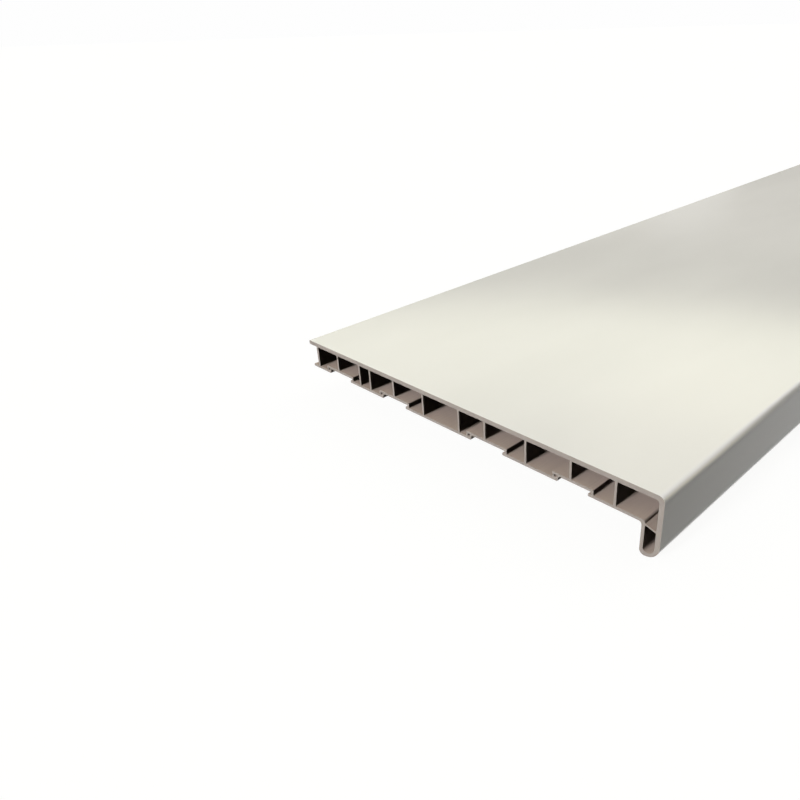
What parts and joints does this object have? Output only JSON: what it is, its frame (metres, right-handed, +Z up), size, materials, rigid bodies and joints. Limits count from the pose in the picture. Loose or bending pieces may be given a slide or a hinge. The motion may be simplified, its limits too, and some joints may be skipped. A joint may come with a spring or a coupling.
{
  "type": "window sill board",
  "caption": "Extruded hollow-chamber window sill board with a smooth top, a rounded drop nose and grooved bearing pads underneath.",
  "frame": {"origin": "on the ground under the middle of the board, level with the bottom of the drop nose", "axes": "+X along the length, -Y towards the room and the drop nose, +Y towards the window frame, +Z up out of the top face"},
  "size_m": [1.5, 0.3, 0.04],
  "materials": {
    "board": "cream white satin film on the top and nose, bare taupe PVC on the underside, in the hollows and on the sawn ends"
  },
  "bodies": {
    "root": {"sill_board": "board"}
  },
  "joints": []
}
